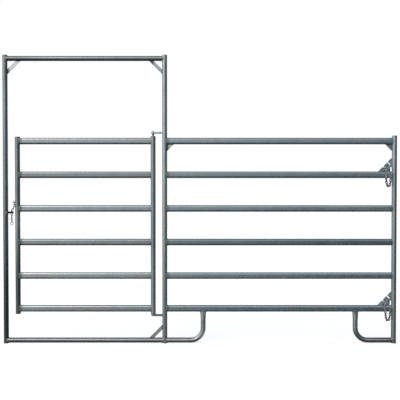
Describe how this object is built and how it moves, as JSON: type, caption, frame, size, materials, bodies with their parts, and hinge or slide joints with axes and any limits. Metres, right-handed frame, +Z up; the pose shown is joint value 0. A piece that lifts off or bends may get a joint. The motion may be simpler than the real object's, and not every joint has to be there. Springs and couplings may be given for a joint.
{
  "type": "fence panel with gate",
  "caption": "Galvanised tubular livestock fence panel with a tall framed gateway, a railed swing gate, bent feet, chain connectors and a chain latch.",
  "frame": {"origin": "centre of the hinge post's foot, on the ground", "axes": "+X along the fence from the gate towards the fixed panel, +Y to the back, +Z up"},
  "size_m": [3, 0.0501, 2.195],
  "materials": {
    "galvanised_tube": "hot-dip galvanised, satin with a faint spangle",
    "galvanised_rail": "hot-dip galvanised, satin with a faint spangle",
    "galvanised_plate": "hot-dip galvanised, satin with a faint spangle",
    "galvanised_chain": "hot-dip galvanised, satin with a faint spangle",
    "hinge_steel": "zinc-plated, duller"
  },
  "bodies": {
    "fence": {"latch_post": "galvanised_tube", "hinge_post": "galvanised_tube", "end_post": "galvanised_tube", "header_tube": "galvanised_tube", "sill_tube": "galvanised_tube", "panel_rail_1": "galvanised_rail", "panel_rail_2": "galvanised_rail", "panel_rail_3": "galvanised_rail", "panel_rail_4": "galvanised_rail", "panel_rail_5": "galvanised_rail", "panel_rail_6": "galvanised_rail", "post_caps": "galvanised_plate", "post_feet": "galvanised_plate", "header_latch_brace": "galvanised_plate", "header_hinge_brace": "galvanised_plate", "sill_brace": "galvanised_plate", "panel_hinge_gusset": "galvanised_plate", "panel_end_gusset": "galvanised_plate", "upper_chain_plate": "galvanised_plate", "lower_chain_plate": "galvanised_plate", "upper_hinge_arm": "galvanised_plate", "lower_hinge_arm": "galvanised_plate", "latch_keeper": "galvanised_plate", "bent_feet": "galvanised_tube", "upper_connector_chain": "galvanised_chain", "lower_connector_chain": "galvanised_chain", "upper_hinge_pin": "hinge_steel", "upper_hinge_nut": "hinge_steel", "lower_hinge_pin": "hinge_steel"},
    "gate": {"gate_latch_stile": "galvanised_tube", "gate_hinge_stile": "galvanised_tube", "gate_rail_1": "galvanised_rail", "gate_rail_2": "galvanised_rail", "gate_rail_3": "galvanised_rail", "gate_rail_4": "galvanised_rail", "gate_rail_5": "galvanised_rail", "gate_rail_6": "galvanised_rail", "gate_stile_caps": "galvanised_plate", "upper_hinge_bush": "hinge_steel", "lower_hinge_bush": "hinge_steel", "chain_staple": "hinge_steel", "latch_chain": "galvanised_chain", "latch_ring": "galvanised_chain"}
  },
  "joints": [
    {"name": "gate_swing", "type": "hinge", "parent": "fence", "child": "gate", "pos_m": [-0.088, 0, 0], "axis": [0, 0, 1], "range_deg": [0, 150]}
  ]
}
